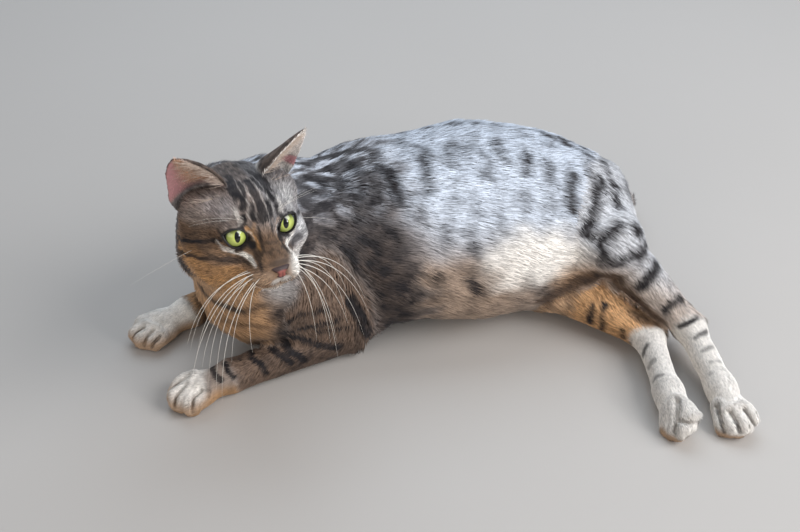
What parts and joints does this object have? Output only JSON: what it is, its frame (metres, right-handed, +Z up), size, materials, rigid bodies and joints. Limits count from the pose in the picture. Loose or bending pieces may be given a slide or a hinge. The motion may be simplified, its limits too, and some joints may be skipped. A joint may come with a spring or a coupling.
{
  "type": "lying cat",
  "caption": "Life-size short-haired spotted tabby cat, lying half on its side with the head raised and turned, forelegs forward and hind legs stretched.",
  "frame": {"origin": "middle of the cat's box in plan, at the floor it lies on", "axes": "+X along the body from the head's end to the rump, +Y towards the back, so the belly and feet lie towards -Y, +Z up"},
  "size_m": [0.511, 0.3566, 0.2342],
  "materials": {
    "coat": "short fur, spotted tabby",
    "pale": "short pale fur",
    "ear": "thin skin with short fur",
    "eye": "wet, clear cornea over a yellow-green iris",
    "nose": "damp fine-grained skin"
  },
  "bodies": {
    "root": {"ear_left": "ear", "ear_right": "ear", "eye_left": "eye", "eye_right": "eye", "nose": "nose", "head": "coat", "neck": "coat", "forepaw_left": "pale", "forepaw_right": "pale", "forearm_left": "coat", "forearm_right": "coat", "hind_foot_left": "pale", "hind_foot_right": "pale", "shank_left": "coat", "shank_right": "coat", "upper_arm_left": "coat", "upper_arm_right": "coat", "thigh_left": "coat", "thigh_right": "coat", "chest": "coat", "belly": "coat", "hips": "coat", "tail": "coat"}
  },
  "joints": []
}
